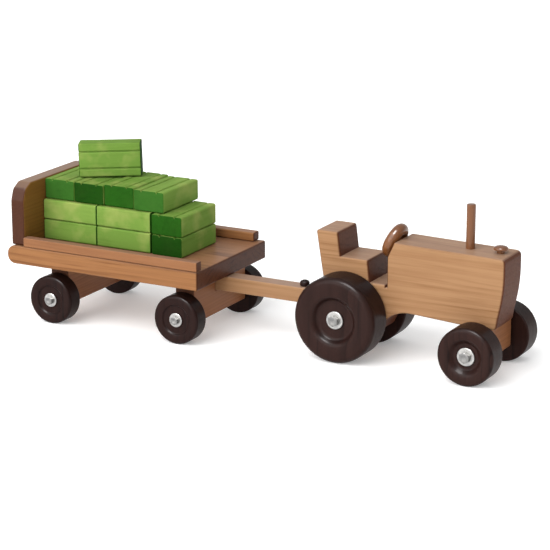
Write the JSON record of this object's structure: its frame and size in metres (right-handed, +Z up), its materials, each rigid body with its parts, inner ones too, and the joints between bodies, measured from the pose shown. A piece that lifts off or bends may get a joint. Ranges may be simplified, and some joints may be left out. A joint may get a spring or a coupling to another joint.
{
  "type": "toy tractor and hay wagon",
  "caption": "Wooden toy tractor with a seat, steering wheel and stack, hitched to a steerable four-wheeled wagon with a load of loose bales.",
  "frame": {"origin": "on the ground under the middle of the whole toy, tractor and wagon together", "axes": "+X the way the tractor drives, +Y to its left, +Z up"},
  "size_m": [0.4752, 0.133, 0.1587],
  "materials": {
    "oiled_pine": "oiled, satin",
    "stained_pine": "stained end grain, satin",
    "dark_wood": "dark stain, satin",
    "zinc_steel": "zinc plated",
    "bale_green": "green stain, matt"
  },
  "bodies": {
    "tractor": {"tractor_body": "oiled_pine", "front_axle_block": "stained_pine", "axle_block_pin_rear": "oiled_pine", "axle_block_pin_front": "oiled_pine", "exhaust_stack": "stained_pine", "radiator_cap": "stained_pine", "steering_wheel": "oiled_pine", "drawbar": "oiled_pine", "rear_washer_right": "zinc_steel", "rear_screw_right": "zinc_steel", "rear_washer_left": "zinc_steel", "rear_screw_left": "zinc_steel", "front_washer_right": "zinc_steel", "front_screw_right": "zinc_steel", "front_washer_left": "zinc_steel", "front_screw_left": "zinc_steel"},
    "rear_wheel_right": {"rear_wheel_right": "dark_wood"},
    "rear_wheel_left": {"rear_wheel_left": "dark_wood"},
    "front_wheel_right": {"front_wheel_right": "dark_wood"},
    "front_wheel_left": {"front_wheel_left": "dark_wood"},
    "hitch_peg": {"hitch_peg": "dark_wood"},
    "wagon_front": {"tongue": "oiled_pine", "front_bolster": "stained_pine", "wagon_front_washer_right": "zinc_steel", "wagon_front_screw_right": "zinc_steel", "wagon_front_washer_left": "zinc_steel", "wagon_front_screw_left": "zinc_steel"},
    "wagon": {"wagon_bed": "oiled_pine", "headboard": "stained_pine", "side_rail_right": "oiled_pine", "side_rail_left": "oiled_pine", "rear_bolster": "stained_pine", "king_pin": "oiled_pine", "wagon_rear_washer_right": "zinc_steel", "wagon_rear_screw_right": "zinc_steel", "wagon_rear_washer_left": "zinc_steel", "wagon_rear_screw_left": "zinc_steel"},
    "wagon_front_wheel_right": {"wagon_front_wheel_right": "dark_wood"},
    "wagon_front_wheel_left": {"wagon_front_wheel_left": "dark_wood"},
    "wagon_rear_wheel_right": {"wagon_rear_wheel_right": "dark_wood"},
    "wagon_rear_wheel_left": {"wagon_rear_wheel_left": "dark_wood"},
    "load_bottom": {"bottom_bale_1": "bale_green", "bottom_bale_2": "bale_green", "bottom_bale_3": "bale_green", "bottom_bale_4": "bale_green", "bottom_bale_5": "bale_green"},
    "load_middle": {"middle_bale_1": "bale_green", "middle_bale_2": "bale_green", "middle_bale_3": "bale_green", "middle_bale_4": "bale_green", "middle_bale_5": "bale_green"},
    "load_upper": {"upper_bale_1": "bale_green", "upper_bale_2": "bale_green", "upper_bale_3": "bale_green"},
    "load_upper_front": {"upper_bale_4": "bale_green"},
    "load_top": {"top_bale": "bale_green"}
  },
  "joints": [
    {"name": "rear_wheel_right_spin", "type": "hinge", "parent": "tractor", "child": "rear_wheel_right", "pos_m": [0.0878, 0, 0.0381], "axis": [0, 1, 0], "continuous": true},
    {"name": "rear_wheel_left_spin", "type": "hinge", "parent": "tractor", "child": "rear_wheel_left", "pos_m": [0.0878, 0, 0.0381], "axis": [0, 1, 0], "continuous": true},
    {"name": "front_wheel_right_spin", "type": "hinge", "parent": "tractor", "child": "front_wheel_right", "pos_m": [0.2122, 0, 0.0254], "axis": [0, 1, 0], "continuous": true},
    {"name": "front_wheel_left_spin", "type": "hinge", "parent": "tractor", "child": "front_wheel_left", "pos_m": [0.2122, 0, 0.0254], "axis": [0, 1, 0], "continuous": true},
    {"name": "hitch_peg_lift", "type": "slide", "parent": "tractor", "child": "hitch_peg", "axis": [0, 0, 1], "range_m": [0, 0.03]},
    {"name": "hitch_turn", "type": "hinge", "parent": "tractor", "child": "wagon_front", "pos_m": [0.0363, 0, 0.044], "axis": [0, 0, 1], "range_deg": [-60, 60]},
    {"name": "wagon_steer", "type": "hinge", "parent": "wagon_front", "child": "wagon", "pos_m": [-0.0593, 0, 0.0514], "axis": [0, 0, 1], "range_deg": [-60, 60]},
    {"name": "wagon_front_wheel_right_spin", "type": "hinge", "parent": "wagon_front", "child": "wagon_front_wheel_right", "pos_m": [-0.0593, 0, 0.0222], "axis": [0, 1, 0], "continuous": true},
    {"name": "wagon_front_wheel_left_spin", "type": "hinge", "parent": "wagon_front", "child": "wagon_front_wheel_left", "pos_m": [-0.0593, 0, 0.0222], "axis": [0, 1, 0], "continuous": true},
    {"name": "wagon_rear_wheel_right_spin", "type": "hinge", "parent": "wagon", "child": "wagon_rear_wheel_right", "pos_m": [-0.1916, 0, 0.0222], "axis": [0, 1, 0], "continuous": true},
    {"name": "wagon_rear_wheel_left_spin", "type": "hinge", "parent": "wagon", "child": "wagon_rear_wheel_left", "pos_m": [-0.1916, 0, 0.0222], "axis": [0, 1, 0], "continuous": true},
    {"name": "load_bottom_lift", "type": "slide", "parent": "wagon", "child": "load_bottom", "axis": [0, 0, 1], "range_m": [0, 0.04]},
    {"name": "load_middle_lift", "type": "slide", "parent": "load_bottom", "child": "load_middle", "axis": [0, 0, 1], "range_m": [0, 0.04]},
    {"name": "load_upper_lift", "type": "slide", "parent": "load_middle", "child": "load_upper", "axis": [0, 0, 1], "range_m": [0, 0.04]},
    {"name": "load_upper_front_lift", "type": "slide", "parent": "load_middle", "child": "load_upper_front", "axis": [0, 0, 1], "range_m": [0, 0.04]},
    {"name": "load_top_lift", "type": "slide", "parent": "load_upper", "child": "load_top", "axis": [0, 0, 1], "range_m": [0, 0.04]}
  ]
}
